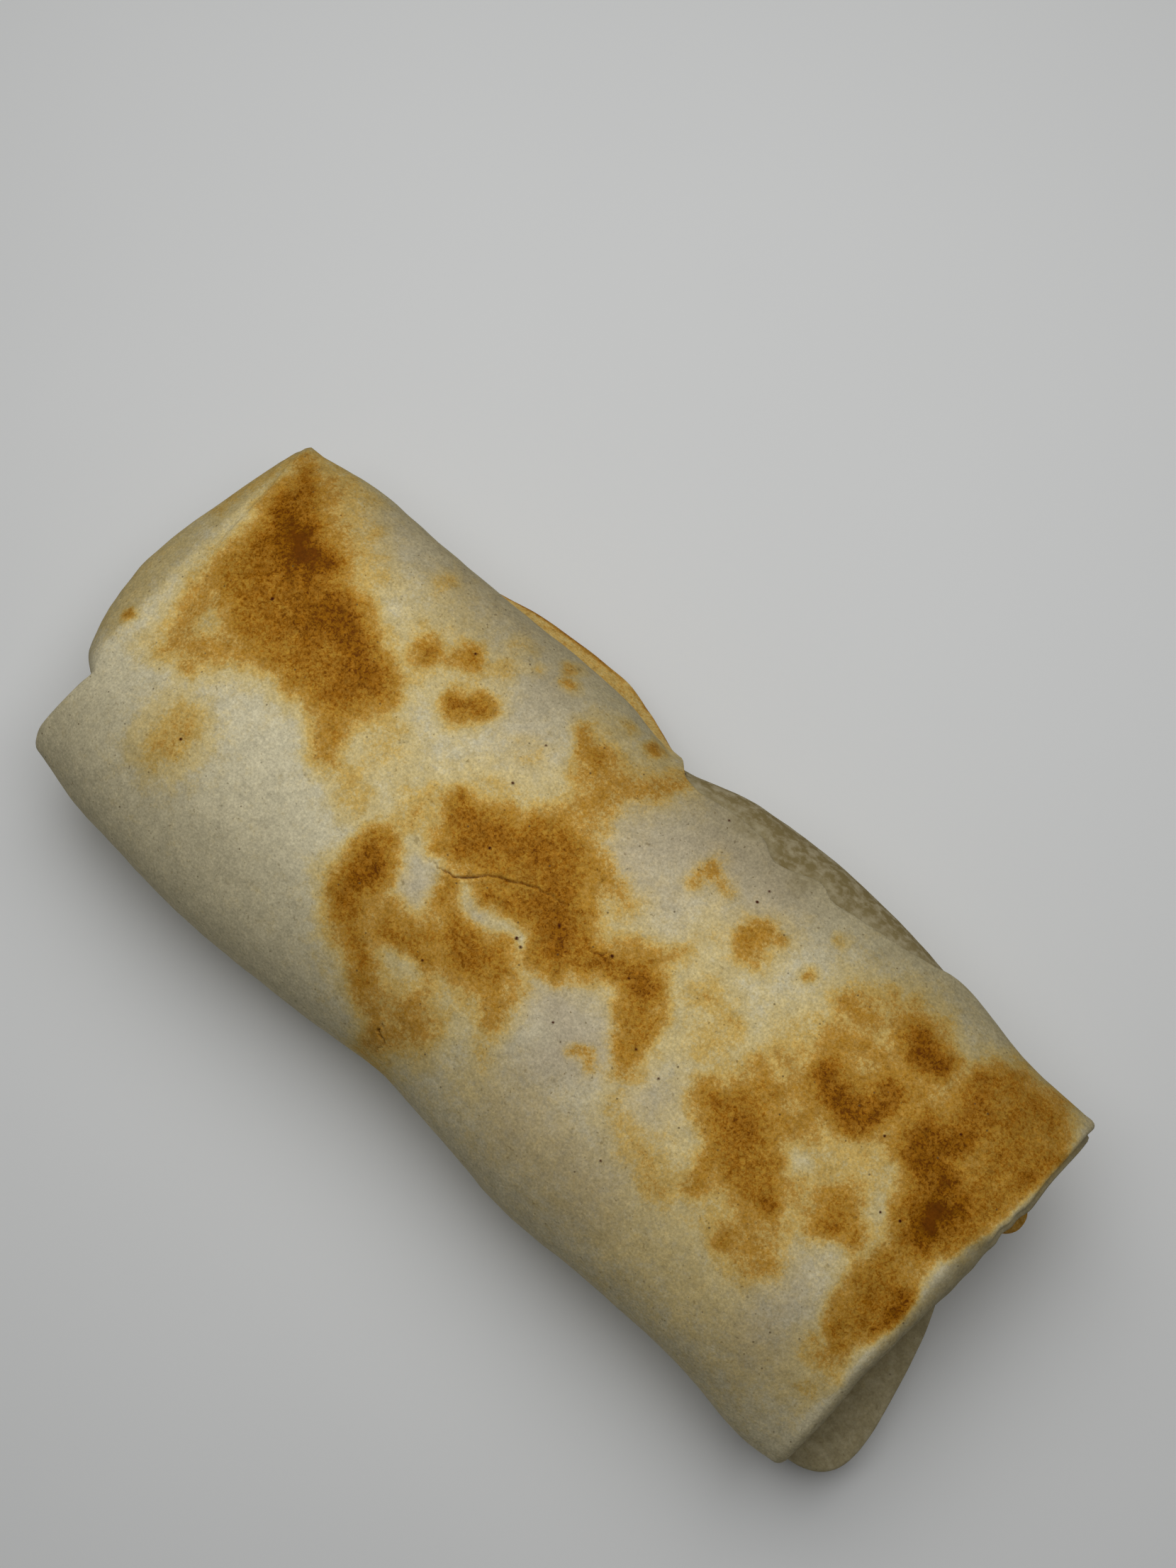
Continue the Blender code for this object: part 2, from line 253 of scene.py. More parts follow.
def wall(lip, way, fullest, tall, square, standing, rounding, merging, groove):
    """Rings from the lip to the middle of an end wall, each with the x, y and z of its points."""
    x_lip = LIPS[0] if way < 0 else LIPS[1]
    low, high = lip.min(axis=0), lip.max(axis=0)
    middle, reach = (low + high) / 2, (high - low) / 2
    groove_in = 1.7  # how far in from the lip the groove lies
    sunk = 8.0  # how far the fold falls back behind the lip above and below
    rings = []
    for k in range(WALL_RINGS):
        inset = INSETS[min(k, len(INSETS) - 1)]
        left_over = 1.0 - max(0, k + 1 - len(INSETS)) / (WALL_RINGS - len(INSETS))
        spots = middle + (lip - middle) * (1.0 - inset / reach) * left_over
        y, z = spots.T
        depth = np.linalg.norm(lip - spots, axis=1)
        radius, soft, groove_depth = along(y, rounding), along(y, merging), along(y, groove)
        # The lip turns over to its radius, and past that the wall drops back behind it.
        turned = radius * np.sqrt(np.clip(1.0 - (1.0 - np.minimum(depth, radius) / radius) ** 2, 0.0, 1.0))
        turned -= 4.5 * rise(depth, 1.7 * radius + 2.0 * groove_depth, 2.2)
        # The layer under the lip comes back out beyond the groove.
        turned -= 1.6 * groove_depth * np.exp(-((depth - groove_in) / 0.45) ** 2)
        turned += 1.1 * groove_depth * rise(depth, groove_in, 1.1)
        full = np.clip(1.0 - (np.abs(z - fullest) / tall) ** square, 0.0, 1.0) ** (1.0 / square)
        fold = (along(y, standing, 2.0) + sunk) * full - sunk
        higher = np.maximum(turned, fold)
        out = higher + soft * np.log(np.exp((turned - higher) / soft) + np.exp((fold - higher) / soft))
        lumps = np.array([lump(x_lip + 40 * way, a, b) for a, b in spots])
        out += 0.6 * lumps * smooth(depth / 4.0)
        rings.append(np.column_stack([leaning(x_lip, y) + way * out, y, z]))
    return rings


def edit(piece, action, picked=None):
    """Runs the action on the piece in edit mode, with only the picked points selected, or else none."""
    bpy.ops.object.select_all(action="DESELECT")
    bpy.context.view_layer.objects.active = piece
    piece.select_set(True)
    mesh = piece.data
    chosen = np.zeros(len(mesh.vertices), bool) if picked is None else picked
    mesh.polygons.foreach_set("select", np.zeros(len(mesh.polygons), bool))
    mesh.edges.foreach_set("select", np.zeros(len(mesh.edges), bool))
    mesh.vertices.foreach_set("select", chosen)
    bpy.ops.object.mode_set(mode="EDIT")
    bpy.ops.mesh.select_mode(type="VERT")
    action()
    bpy.ops.object.mode_set(mode="OBJECT")


def places(piece):
    """The piece's points in millimetres."""
    spots = np.empty(len(piece.data.vertices) * 3, np.float32)
    piece.data.vertices.foreach_get("co", spots)
    return spots.reshape(-1, 3).astype(float) / MM


def move(piece, spots):
    """Moves the piece's points to the spots, given in millimetres."""
    piece.data.vertices.foreach_set("co", (spots * MM).astype(np.float32).ravel())
    piece.data.update()


def mark(piece, name, values):
    """Stores one number on each point of the piece."""
    layer = piece.data.attributes.get(name) or piece.data.attributes.new(name, "FLOAT", "POINT")
    layer.data.foreach_set("value", np.asarray(values, np.float32))


def marked(piece, name):
    """The numbers that mark stored."""
    values = np.empty(len(piece.data.vertices), np.float32)
    piece.data.attributes[name].data.foreach_get("value", values)
    return values.astype(float)


# A tube is cut into rings, its ends are extruded for the walls, and each ring is then set to its section.
bpy.ops.object.select_all(action="DESELECT")
bpy.ops.mesh.primitive_cylinder_add(vertices=RING, radius=TUBE_RADIUS * MM, depth=TUBE_LENGTH * MM,
                                    end_fill_type="NOTHING", rotation=(0, math.pi / 2, 0))
outer_turn = bpy.context.object
outer_turn.name = "outer_turn"
bpy.ops.object.transform_apply(location=True, rotation=True, scale=True)


def cut_rings():
    for parts in CUT_INTO:
        bpy.ops.mesh.select_all(action="DESELECT")
        mesh = bmesh.from_edit_mesh(bpy.context.object.data)
        for line in mesh.edges:
            line.select_set(abs(line.verts[0].co.x - line.verts[1].co.x) > 0.1 * MM)
        bmesh.update_edit_mesh(bpy.context.object.data)
        bpy.ops.mesh.subdivide(number_cuts=parts - 1)
    for way in (-1, 1):
        bpy.ops.mesh.select_all(action="DESELECT")
        mesh = bmesh.from_edit_mesh(bpy.context.object.data)
        for v in mesh.verts:
            v.select_set(v.co.x * way > (TUBE_LENGTH / 2 - 0.1) * MM)
        mesh.select_flush(True)
        bmesh.update_edit_mesh(bpy.context.object.data)
        for _ in range(WALL_RINGS):
            bpy.ops.mesh.extrude_region_move(TRANSFORM_OT_translate={"value": (way * MM, 0, 0)})


edit(outer_turn, cut_rings)
spots = places(outer_turn)
column = np.round(np.arctan2(spots[:, 2], spots[:, 1]) / (2 * math.pi) * RING).astype(int) % RING
row = np.unique(np.round(spots[:, 0] * 20), return_inverse=True)[1]
rings = [ring(x) for x in stations()]
sheet = [np.column_stack([leaning(x, r[0][:, 0]), r[0]]) for x, r in zip(stations(), rings)]
walls = [wall(rings[end][0], **WALLS[end]) for end in (0, -1)]
shaped = np.array(walls[0][::-1] + sheet + walls[1])
move(outer_turn, shaped[row, column])
first, last = [rings[0]] * WALL_RINGS, [rings[-1]] * WALL_RINGS
for place, name in ((1, "around"), (3, "to_edge")):
    values = np.array([r[place] for r in first + rings + last])
    mark(outer_turn, name, values[row, column])
unlapped = [np.zeros(RING)] * WALL_RINGS
mark(outer_turn, "under", np.array(unlapped + [r[2] for r in rings] + unlapped)[row, column])
into_wall = np.concatenate([np.arange(WALL_RINGS, 0, -1), np.zeros(ALONG), np.arange(1, WALL_RINGS + 1)])
mark(outer_turn, "inside", into_wall[row])


def close_ends():
    bpy.ops.mesh.remove_doubles(threshold=0.02 * MM)


edit(outer_turn, close_ends, (row == row.max()) | (row == 0))

# The crack runs across the brownest patch, with two short ones near it, as (x, y, half width) points. The
# flecks are specks of burnt flour, as (x, y, radius).
CRACKS = (
    ((-19.0, -8.1, -0.04), (-14.8, -7.8, 0.06), (-12.6, -7.2, 0.12), (-11.3, -6.1, 0.16),
     (-10.2, -5.0, 0.13), (-9.1, -3.6, 0.08), (-7.8, -2.8, 0.10), (-6.2, -2.0, 0.09), (-4.7, -1.1, 0.09),
     (-2.9, -0.2, 0.08), (-2.0, 0.1, 0.07), (0.3, 0.7, 0.05), (2.9, 1.1, 0.03), (4.7, 0.7, -0.04)),
    ((10.2, -1.4, 0.02), (11.9, -1.1, 0.09), (12.3, -0.4, 0.08), (12.6, 0.3, 0.0)),
    ((-6.4, -30.8, 0.02), (-5.6, -31.9, 0.09), (-4.7, -32.5, 0.09), (-4.1, -33.6, 0.0)))
FLECKS = (
    (-65.4, 5.6, 0.30), (-11.9, -0.4, 0.26), (-16.5, 9.6, 0.25), (-17.0, 17.6, 0.2), (13.3, 0.1, 0.28),
    (4.2, -1.9, 0.26), (13.6, -13.3, 0.22), (11.8, 28.5, 0.2), (0.9, 30.6, 0.2), (23.8, 21.4, 0.26),
    (24.0, 24.0, 0.2), (31.0, -8.8, 0.2), (25.6, -7.9, 0.2), (32.8, -23.4, 0.2), (71.2, 0.3, 0.25),
    (61.3, 7.9, 0.22), (69.5, 16.0, 0.22), (-59.9, -20.4, 0.26), (0.7, -7.7, 0.3), (2.1, -8.3, 0.25),
    (-35.4, 20.9, 0.25), (-7.7, -19.8, 0.2), (17.5, -0.7, 0.2), (68.2, -0.8, 0.2))


def to_route(x, y, route):
    """How far each (x, y) is outside a route of (x, y, radius) points; negative inside it."""
    nearest = np.full(len(x), 1e3)
    for (x0, y0, r0), (x1, y1, r1) in zip(route, route[1:] if len(route) > 1 else route):
        run = (x1 - x0) ** 2 + (y1 - y0) ** 2 + 1e-9
        part = np.clip(((x - x0) * (x1 - x0) + (y - y0) * (y1 - y0)) / run, 0.0, 1.0)
        far = np.hypot(x - x0 - part * (x1 - x0), y - y0 - part * (y1 - y0))
        nearest = np.minimum(nearest, far - r0 - part * (r1 - r0))
    return nearest


def near_damage(margins):
    x, y, z = places(outer_turn).T
    near = np.zeros(len(x), bool)
    for route in CRACKS:
        near |= to_route(x, y, route) < margins[0]
    for fleck in FLECKS:
        near |= to_route(x, y, (fleck,)) < margins[1]
    return near & (z > 8.0) & (marked(outer_turn, "inside") < 0.5)


for margins in ((1.9, 1.2), (1.1, 0.8)):
    edit(outer_turn, lambda: bpy.ops.mesh.subdivide(number_cuts=1), near_damage(margins))

spots = places(outer_turn)
x, y, z = spots.T
normals = np.empty(len(x) * 3, np.float32)
outer_turn.data.vertex_normals.foreach_get("vector", normals)
normals = normals.reshape(-1, 3)
top_side = rise(z, 8.0, 4.0)
wander = np.array([0.5 * noise.noise(Vector(p) / 1.3) + 0.3 * noise.noise(Vector(p) / 0.5)
                   for p in spots])
split = np.full(len(x), 1e3)
for route in CRACKS:
    split = np.minimum(split, to_route(x + wander, y + wander, route))
burnt = np.full(len(x), 1e3)
for fleck in FLECKS:
    burnt = np.minimum(burnt, to_route(x, y, (fleck,)))
lift = -0.4 * (1.0 - rise(split, -0.1, 0.25)) + 0.1 * np.exp(-((split - 0.55) / 0.35) ** 2)
lift += 0.08 * (1.0 - rise(burnt, -0.1, 0.3))
move(outer_turn, spots + normals * (lift * top_side)[:, None])

# Browning on the upper side, as (how brown, how soft its edge is, its route), with (x, y, radius) points.
# 0.2 is butter yellow, 0.4 amber, 0.6 tan, 0.8 brown and 1 the darkest scorch.
LEFT_SCORCH = (
    (0.68, 3.0, ((-78.3, 26.3, 2.2), (-75.0, 21.0, 4.0), (-70.5, 13.5, 7.0))),
    (0.68, 3.0, ((-70.0, 8.5, 8.0), (-62.0, 5.8, 9.5), (-54.0, 5.4, 8.8), (-46.0, 4.6, 6.6))),
    (0.90, 3.5, ((-77.2, 19.3, 2.3), (-72.0, 16.2, 4.2), (-66.5, 14.3, 5.2), (-62.8, 15.8, 3.2))),
    (1.12, 3.0, ((-70.5, 16.6, 2.6), (-67.5, 13.6, 3.2), (-63.6, 15.5, 1.8))),
    (0.98, 2.6, ((-75.6, 17.4, 1.6), (-71.5, 15.6, 2.2))),
    (0.88, 3.0, ((-59.6, 11.8, 2.6), (-57.0, 10.3, 3.2), (-53.0, 10.8, 2.4))),
    (0.76, 2.5, ((-59.5, 5.8, 2.2), (-57.0, 5.0, 1.8))),
    (0.82, 3.8, ((-64.0, 11.0, 3.2), (-56.0, 10.0, 4.0), (-50.5, 8.8, 3.0), (-44.8, 6.4, 1.8))),
    (0.36, 5.0, ((-76.0, 27.5, 3.0), (-66.0, 22.5, 3.5), (-57.0, 18.5, 2.5))),
    (0.70, 2.5, ((-78.0, 25.8, 1.8), (-76.5, 23.2, 2.6), (-74.0, 22.0, 2.4))),
    (0.50, 2.5, ((-74.0, 26.5, 2.0), (-70.5, 24.0, 2.6), (-69.0, 20.5, 2.6))),
    (0.28, 3.0, ((-74.0, 28.8, 1.6), (-68.0, 27.0, 2.2), (-64.5, 22.5, 2.2))),
    (0.48, 2.0, ((-65.3, 21.2, 1.4), (-63.5, 18.8, 1.6))),
    (0.68, 3.0, ((-50.5, 8.5, 3.2), (-46.0, 6.5, 3.8), (-42.5, 5.5, 3.0))),
    (0.60, 2.5, ((-47.0, 1.5, 2.6), (-43.0, 2.5, 2.2))),
    (0.46, 3.0, ((-77.0, 11.0, 2.2), (-77.5, 4.5, 2.4), (-76.4, -1.0, 2.6), (-74.6, -6.5, 2.6),
                 (-74.0, -10.5, 1.9))),
    (0.66, 2.5, ((-74.0, 3.0, 1.8), (-72.5, 0.5, 1.6))),
    (0.44, 2.8, ((-70.5, -7.0, 3.0), (-66.0, -5.6, 3.4), (-62.0, -3.4, 3.2))),
    (0.40, 2.0, ((-69.0, -9.5, 1.6), (-67.5, -11.0, 1.2))),
    (0.58, 2.5, ((-45.5, -1.0, 2.4), (-43.4, -3.2, 2.4))),
    (0.50, 2.6, ((-42.0, -5.0, 2.2), (-40.0, -7.0, 2.0))),
    (0.30, 2.8, ((-36.0, -6.3, 2.4), (-33.0, -8.5, 2.4))),
    (0.28, 4.5, ((-37.0, 2.5, 3.5), (-34.0, 0.0, 3.5))))
LEFT_SPOTS = (
    (0.40, 4.0, ((-61.8, -18.8, 3.4), (-61.4, -22.6, 3.2))), (0.32, 2.2, ((-61.3, 24.9, 1.7),)),
    (0.34, 2.0, ((-47.6, 26.0, 1.5),)), (0.16, 5.0, ((-46.0, 24.0, 4.0), (-38.0, 22.0, 4.0))),
    (0.72, 2.0, ((-41.1, 16.2, 2.0),)), (0.42, 2.2, ((-40.8, 15.4, 2.4),)),
    (0.25, 3.5, ((-44.0, 16.5, 2.0), (-40.0, 12.5, 3.0))), (0.64, 2.0, ((-35.4, 20.5, 1.8),)),
    (0.48, 1.8, ((-36.9, 18.4, 1.7), (-34.5, 20.0, 1.6))),
    (0.76, 1.8, ((-28.7, 15.6, 1.2), (-30.2, 13.4, 1.2), (-31.2, 12.3, 1.4))),
    (0.52, 2.0, ((-28.8, 15.2, 1.6), (-31.2, 12.2, 2.1), (-32.6, 13.6, 1.2))),
    (0.20, 4.5, ((-39.0, 17.0, 5.0), (-32.0, 16.0, 5.5))), (0.32, 2.0, ((-30.2, 22.3, 1.5),)),
    (0.24, 2.0, ((-31.6, 26.7, 1.5),)), (0.26, 2.0, ((-18.6, 14.6, 1.4), (-17.0, 15.6, 1.2))),
    (0.50, 1.2, ((-22.8, 29.9, 0.6),)), (0.50, 1.2, ((-21.0, 27.7, 0.6),)),
    (0.34, 1.2, ((-10.3, 29.3, 0.5),)), (0.62, 1.3, ((-5.1, 30.2, 1.1),)),
    (0.34, 1.2, ((-26.6, 24.8, 0.5),)), (0.32, 1.6, ((-25.6, 0.4, 0.7), (-24.8, -2.0, 0.6))))
Y_PATCH = (
    (0.54, 2.0, ((-14.2, 24.2, 1.0), (-11.6, 22.3, 1.7), (-8.8, 22.3, 2.2))),
    (0.66, 1.8, ((-9.4, 22.6, 1.1), (-7.6, 21.6, 1.2))),
    (0.44, 2.4,
     ((-9.0, 18.6, 2.8), (-5.2, 18.2, 3.8), (-2.8, 21.5, 2.4), (-0.4, 24.8, 2.2), (2.2, 28.2, 1.6))),
    (0.42, 2.4, ((-6.0, 14.8, 3.0), (-3.2, 13.6, 2.2))), (0.34, 1.6, ((-0.8, 14.5, 0.8),)),
    (0.30, 4.0, ((-12.0, 24.0, 2.0), (-5.0, 20.0, 5.5), (2.0, 28.0, 2.2))))
CENTRE = (
    (0.60, 2.6,
     ((-19.3, 0.5, 3.0), (-15.5, -1.0, 5.0), (-9.5, 1.2, 5.4), (-3.0, 3.0, 6.0), (1.0, -1.0, 5.0))),
    (0.64, 2.6, ((-8.5, 7.0, 2.8), (-4.0, 7.0, 3.4))),
    (0.80, 2.5, ((-19.2, 1.2, 1.7), (-17.6, 0.6, 1.8))),
    (0.74, 2.5, ((-15.8, -3.4, 2.0), (-13.5, 2.2, 1.7))),
    (0.72, 2.5, ((-8.4, 4.2, 1.6), (-6.0, 5.6, 1.6), (-5.0, 3.4, 1.4))),
    (0.74, 2.5, ((-6.5, -4.5, 1.8), (-2.0, -3.5, 1.8))),
    (0.24, 3.0, ((-20.5, 7.0, 2.0), (-15.0, 8.2, 2.0))),
    (0.64, 2.5, ((2.0, -1.0, 4.4), (5.0, -5.0, 4.2), (8.6, -3.6, 3.2), (12.0, -2.6, 2.4))),
    (0.88, 2.2, ((5.6, -4.6, 1.7), (4.4, -2.2, 1.2))), (0.60, 2.0, ((8.2, -7.4, 2.0),)),
    (0.50, 3.0, ((2.2, 8.0, 3.0), (6.5, 8.0, 2.2), (9.4, 6.9, 1.6))), (0.50, 1.6, ((6.2, 4.9, 0.9),)),
    (0.66, 2.4, ((12.6, -0.6, 2.2), (17.0, 0.4, 3.0), (20.6, -0.6, 3.0))),
    (0.84, 2.2, ((18.0, 0.6, 1.6), (20.4, -1.3, 1.2))), (0.78, 1.8, ((13.0, -0.2, 1.1),)),
    (0.46, 2.5, ((19.2, 4.2, 2.0), (20.3, 7.6, 1.1))), (0.26, 2.5, ((20.8, 10.6, 1.2),)),
    (0.56, 2.4, ((21.8, -3.4, 3.3), (24.0, -7.0, 3.0), (26.6, -11.0, 1.5))),
    (0.62, 1.6, ((25.4, -3.6, 1.5), (26.0, -8.0, 1.4))),
    (0.38, 2.5, ((27.5, 5.6, 1.8), (31.5, 5.6, 1.5), (34.4, 4.6, 1.0))),
    (0.30, 3.0, ((32.2, -1.0, 2.0), (34.0, 2.0, 1.6))), (0.20, 5.0, ((26.0, 5.0, 4.5), (35.0, 0.0, 5.5))),
    (0.58, 3.5, ((-16.0, 0.0, 4.5), (-6.0, 3.0, 7.0), (3.0, 0.0, 7.0), (10.0, -2.5, 4.0))),
    (0.50, 3.0, ((9.0, -0.5, 2.5), (17.0, 1.0, 4.0), (23.0, -4.0, 4.0))),
    (0.45, 3.0, ((-6.0, 10.0, 4.0), (4.0, 8.5, 2.4))),
    (0.16, 6.0, ((-26.0, 0.0, 4.0), (-18.0, 9.0, 4.0), (-8.0, 14.0, 5.0), (10.0, 8.0, 4.0))))
LOWER_CENTRE = (
    (0.62, 2.0, ((-13.0, -8.6, 1.5), (-11.6, -11.6, 1.4))),
    (0.36, 3.0, ((-24.5, -3.0, 2.4), (-24.4, -7.0, 1.8))),
    (0.68, 2.6, ((-24.6, -11.4, 2.6), (-23.6, -15.0, 4.0), (-23.6, -18.8, 3.8), (-21.6, -21.8, 2.8))),
    (0.88, 2.5, ((-23.2, -14.0, 1.9), (-22.6, -16.6, 2.2), (-24.2, -18.8, 1.8))),
    (0.68, 2.5, ((-21.4, -22.0, 2.0), (-17.0, -24.3, 2.1), (-12.5, -27.2, 1.7))),
    (0.50, 2.5, ((-12.6, -27.4, 1.9), (-8.4, -30.6, 1.8), (-6.4, -33.2, 1.6))),
    (0.44, 3.0, ((-17.2, -18.4, 2.2), (-14.0, -19.6, 2.4))),
    (0.68, 2.4, ((-13.4, -20.4, 2.1), (-9.8, -19.6, 2.3), (-6.8, -20.2, 1.4))),
    (0.66, 2.4, ((-10.4, -16.8, 1.8),)),
    (0.68, 2.5, ((-8.0, -13.2, 2.4), (-3.2, -14.4, 3.4), (1.6, -13.2, 2.8))),
    (0.80, 2.2, ((-7.2, -14.8, 1.3), (-4.6, -15.6, 1.8), (-1.8, -15.2, 1.0))),
    (0.58, 2.0, ((1.2, -11.2, 1.6),)), (0.50, 2.5, ((3.6, -16.4, 2.4), (6.2, -18.6, 2.0))),
    (0.28, 2.5, ((8.4, -21.4, 1.8), (10.4, -24.2, 1.4))),
    (0.43, 2.5, ((-5.6, -20.6, 1.4), (-4.6, -24.0, 1.7), (-4.2, -28.0, 2.8), (-4.4, -31.6, 2.4))),
    (0.36, 3.0, ((-1.4, -28.4, 2.6), (0.6, -26.6, 1.6))), (0.40, 1.4, ((6.6, -13.0, 0.7),)),
    (0.45, 3.5, ((-19.0, -20.0, 3.0), (-13.0, -19.0, 4.0), (-6.0, -17.0, 4.5), (2.0, -15.0, 4.5))),
    (0.36, 4.0, ((-16.0, -25.0, 3.0), (-8.0, -27.0, 4.5), (-3.0, -28.0, 5.0), (-5.0, -33.0, 3.0))))
MIDDLE_RIGHT = (
    (0.46, 1.7, ((13.7, 18.2, 1.3), (14.3, 19.2, 1.1))),
    (0.42, 2.0, ((15.2, 20.8, 1.6), (18.8, 19.5, 1.2))),
    (0.56, 2.0, ((28.0, 18.8, 1.8), (26.8, 16.4, 2.3))),
    (0.44, 2.2, ((27.2, 14.2, 1.8), (30.6, 15.0, 1.1))),
    (0.20, 4.5, ((28.0, 16.0, 5.0), (22.5, 13.5, 3.0))), (0.50, 0.9, ((37.3, 18.2, 0.5),)),
    (0.30, 1.0, ((37.2, 25.5, 0.6),)), (0.46, 1.3, ((19.8, -14.1, 0.6), (22.2, -14.2, 0.6))),
    (0.33, 3.4, ((31.0, -17.4, 2.0), (37.0, -19.2, 2.4), (43.0, -20.6, 2.6))),
    (0.30, 1.6, ((28.8, -14.2, 0.5), (29.3, -18.4, 0.5))),
    (0.13, 5.0, ((12.0, -27.0, 5.0), (40.0, -27.0, 7.0), (72.0, -27.0, 6.0))))
RIGHT_SPOTS = (
    (0.54, 2.8, ((44.8, 19.0, 2.2), (47.5, 20.0, 2.2))), (0.64, 1.1, ((50.8, 16.1, 0.6),)),
    (0.68, 2.6, ((54.4, 22.8, 2.8), (58.0, 22.3, 3.4), (60.6, 22.2, 2.2))),
    (0.90, 2.4, ((55.2, 23.2, 1.3),)), (1.00, 2.6, ((57.0, 22.2, 2.0), (59.4, 21.8, 2.2))),
    (0.40, 2.5, ((57.0, 27.2, 1.7),)), (0.38, 2.5, ((48.8, 23.6, 1.8),)),
    (0.68, 2.7, ((48.8, 9.0, 3.2), (54.0, 7.6, 3.8), (58.0, 12.2, 3.0))),
    (0.90, 2.8, ((49.0, 8.0, 2.3), (52.0, 6.8, 2.8), (55.0, 7.4, 2.6))), (0.80, 2.0, ((54.0, 5.2, 1.2),)),
    (0.92, 2.4, ((58.2, 12.8, 1.8), (57.0, 9.4, 1.5))), (0.78, 1.8, ((57.2, 8.6, 1.2),)),
    (0.50, 3.5, ((46.0, 13.0, 2.2), (52.0, 15.0, 3.2), (59.0, 17.0, 4.0), (63.0, 12.0, 3.6))),
    (0.50, 3.0, ((46.0, 5.0, 2.4), (52.0, 2.4, 2.8))), (0.46, 2.0, ((42.0, 6.9, 1.2),)),
    (0.58, 2.0, ((44.0, 1.7, 1.8),)),
    (0.66, 2.8, ((38.8, -5.8, 2.4), (44.0, -6.0, 5.0), (49.0, -8.4, 5.0), (54.2, -11.6, 3.8))),
    (0.80, 2.2, ((40.6, -6.6, 1.5),)), (0.76, 2.4, ((46.4, -6.0, 2.2),)),
    (0.82, 2.0, ((55.2, -11.6, 1.7),)), (0.62, 2.0, ((44.8, -12.6, 1.2), (45.1, -16.6, 1.2))),
    (0.56, 3.0, ((42.4, 2.0, 2.2), (43.0, -1.4, 3.0), (47.0, -1.8, 2.8), (52.0, -1.2, 2.2))),
    (0.62, 2.6, ((62.2, -4.6, 2.8), (63.8, -6.4, 3.2), (67.2, -6.0, 2.2))),
    (0.80, 1.8, ((64.0, -8.0, 1.3),)), (0.74, 1.6, ((67.6, -6.2, 0.9),)),
    (0.48, 3.4, ((54.0, -17.0, 3.2), (60.0, -17.2, 3.0))),
    (0.36, 2.6, ((55.2, -20.4, 1.8), (60.0, -20.8, 1.4))), (0.62, 1.8, ((53.3, -19.6, 1.4),)),
    (0.34, 2.5, ((58.6, -13.6, 2.2),)), (0.30, 3.0, ((41.4, -18.0, 1.8), (41.0, -21.0, 2.0))),
    (0.34, 6.0, ((46.0, 19.0, 3.5), (54.0, 20.0, 6.0), (60.0, 20.0, 5.0))),
    (0.36, 6.0, ((44.0, 9.0, 4.5), (54.0, 8.0, 7.0), (63.0, 12.0, 6.0))),
    (0.34, 6.0, ((40.0, -5.0, 4.5), (50.0, -6.0, 8.0), (62.0, -6.0, 6.0))),
    (0.22, 6.0, ((36.0, -17.0, 5.0), (50.0, -17.0, 6.0), (60.0, -16.0, 6.0))),
    (0.28, 5.0, ((62.0, 3.0, 6.0),)), (0.48, 3.0, ((62.5, 17.0, 2.6),)),
    (0.44, 2.4, ((45.6, -13.6, 2.4),)), (0.12, 4.0, ((66.0, -16.0, 4.0), (67.5, -22.0, 3.0))))
RIGHT_BAND = (
    (0.64, 2.8, ((71.0, 27.0, 3.8), (78.0, 27.0, 3.4))),
    (0.62, 2.8, ((69.0, 20.0, 5.2), (78.0, 19.5, 5.4))),
    (0.66, 3.0, ((66.5, 11.5, 4.6), (75.5, 12.0, 6.0), (75.0, 3.0, 5.4))),
    (0.60, 2.2, ((80.6, 26.0, 1.8), (81.4, 19.0, 2.0), (81.0, 12.0, 2.2), (79.2, 4.0, 2.6))),
    (0.68, 3.0, ((68.6, 25.5, 2.4), (68.8, 19.0, 2.4))), (0.66, 2.6, ((74.5, 24.5, 2.4),)),
    (0.78, 2.8, ((70.0, 16.0, 3.4), (66.8, 11.0, 3.0), (71.0, 8.6, 2.8))),
    (0.82, 1.6, ((66.8, 24.5, 1.0),)), (0.78, 1.6, ((72.1, 19.6, 1.0),)),
    (0.70, 1.8, ((81.0, 21.4, 1.0), (80.8, 18.4, 1.1))),
    (0.86, 2.6, ((66.0, 13.0, 1.8), (65.6, 9.6, 1.6), (70.5, 9.0, 2.2))),
    (0.94, 3.0, ((72.0, 8.4, 2.8), (74.0, 3.6, 3.6), (76.8, 8.6, 2.4))),
    (1.12, 2.6, ((73.6, 4.8, 2.6), (74.4, 2.2, 2.4))),
    (0.60, 3.0, ((75.8, -1.5, 3.2), (75.6, -6.5, 3.4))),
    (0.64, 2.8, ((74.0, -8.0, 2.8), (76.0, -12.0, 3.8), (75.8, -15.6, 2.8))),
    (0.62, 2.4, ((79.6, -8.0, 2.2), (79.0, -14.0, 2.2))),
    (1.05, 2.2, ((78.9, -8.2, 1.8), (78.2, -10.6, 1.5))), (0.84, 1.8, ((78.6, -13.6, 1.3),)),
    (0.74, 1.8, ((74.6, -15.4, 1.0), (74.8, -17.8, 0.7))), (0.72, 1.8, ((76.2, -19.0, 1.0),)),
    (0.42, 2.5, ((77.6, -21.6, 1.8), (73.4, -21.8, 1.5))), (0.30, 2.5, ((78.2, -27.0, 1.5),)))
END_TINTS = (
    (0.36, 3.4, ((-83.8, 26.0, 1.4), (-85.0, 19.0, 1.4), (-86.2, 12.0, 1.2))),
    (0.72, 1.1, ((-83.8, -11.0, 0.45),)), (0.17, 5.0, ((-86.0, -12.0, 3.0), (-89.0, 4.0, 4.0))),
    (0.5, 2.4, ((-80.8, 28.5, 1.6), (-78.8, 22.0, 1.6), (-77.6, 15.0, 1.3))),
    (0.60, 1.2, ((83.2, 18.7, 0.6),)))
